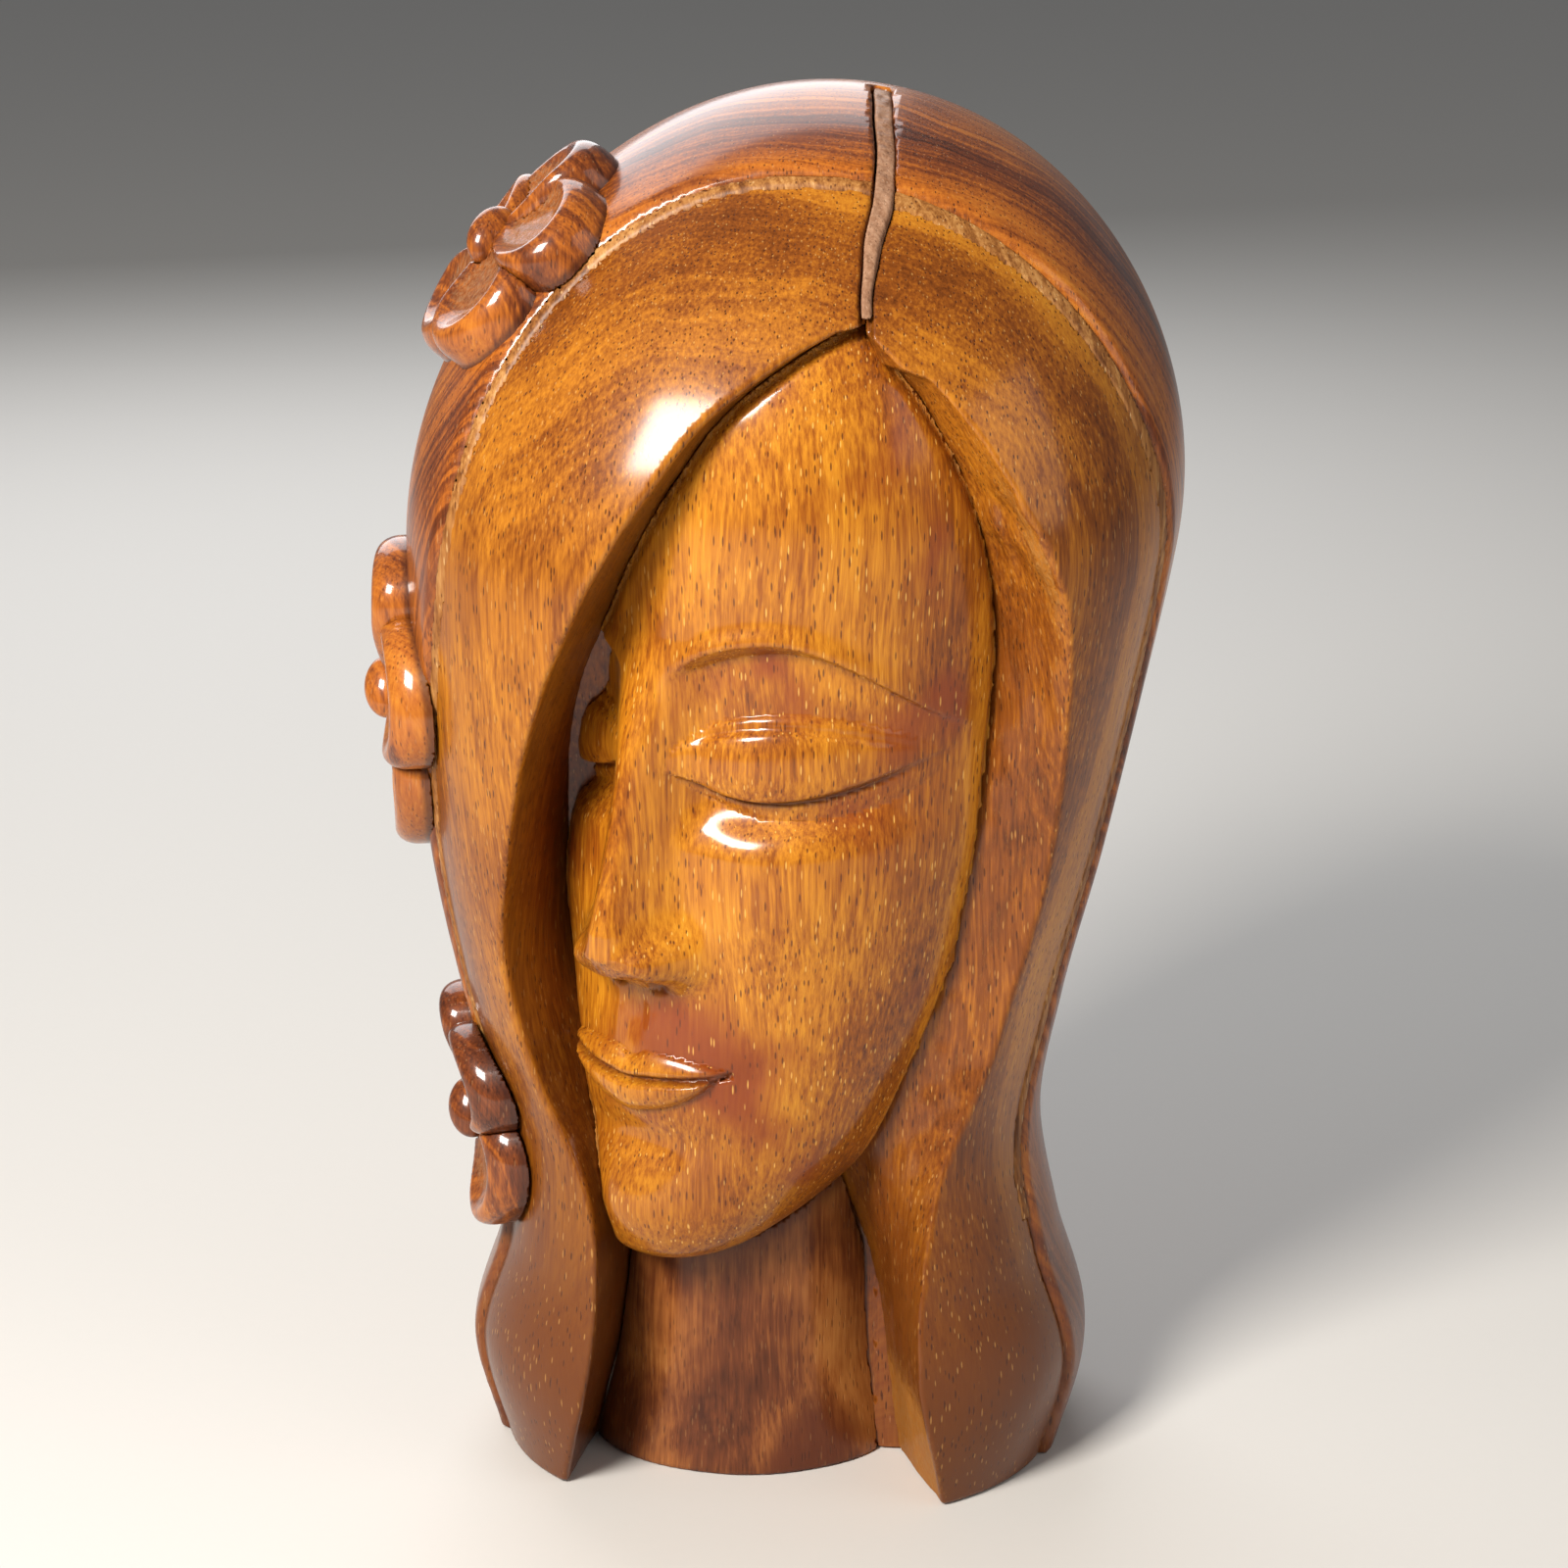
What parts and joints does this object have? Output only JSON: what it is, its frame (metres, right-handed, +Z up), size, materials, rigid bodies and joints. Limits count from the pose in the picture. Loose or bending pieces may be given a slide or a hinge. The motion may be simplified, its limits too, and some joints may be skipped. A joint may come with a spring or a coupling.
{
  "type": "carved wooden head",
  "caption": "Free-standing carved hardwood head of a woman with smooth parted hair, two long front locks and frangipani flowers at one side, on a flat base.",
  "frame": {"origin": "on the base plane, under the middle of the hair at the base", "axes": "+Z up, the head looks along -Y, +X is to the right of someone who faces it"},
  "size_m": [0.1573, 0.1474, 0.27],
  "materials": {
    "hair_wood": "clear varnish over reddish brown carved hardwood",
    "face_wood": "clear varnish over honey brown carved hardwood with dark pores",
    "neck_wood": "thin varnish over darker mottled hardwood",
    "flower_wood": "gloss varnish over carved hardwood petals",
    "pale_strip": "sawn pale sapwood strip, satin",
    "bare_wood": "rough unpolished wood, matt",
    "dowel_wood": "plain turned hardwood dowel"
  },
  "bodies": {
    "root": {"back_hair": "hair_wood", "band_strip_left": "pale_strip", "band_strip_right": "pale_strip", "face": "face_wood", "face_dowel_lower": "dowel_wood", "face_dowel_upper": "dowel_wood", "front_lock_left": "hair_wood", "front_lock_right": "hair_wood", "left_lock_dowel_lower": "dowel_wood", "left_lock_dowel_upper": "dowel_wood", "lower_flower_bud": "flower_wood", "lower_flower_petal_1": "flower_wood", "lower_flower_petal_2": "flower_wood", "lower_flower_petal_3": "flower_wood", "lower_flower_petal_4": "flower_wood", "lower_flower_petal_5": "flower_wood", "middle_flower_bud": "flower_wood", "middle_flower_petal_1": "flower_wood", "middle_flower_petal_2": "flower_wood", "middle_flower_petal_3": "flower_wood", "middle_flower_petal_4": "flower_wood", "middle_flower_petal_5": "flower_wood", "neck": "neck_wood", "neck_dowel": "dowel_wood", "parting_strip": "bare_wood", "right_lock_dowel_lower": "dowel_wood", "right_lock_dowel_upper": "dowel_wood", "upper_flower_bud": "flower_wood", "upper_flower_petal_1": "flower_wood", "upper_flower_petal_2": "flower_wood", "upper_flower_petal_3": "flower_wood", "upper_flower_petal_4": "flower_wood", "upper_flower_petal_5": "flower_wood"}
  },
  "joints": []
}
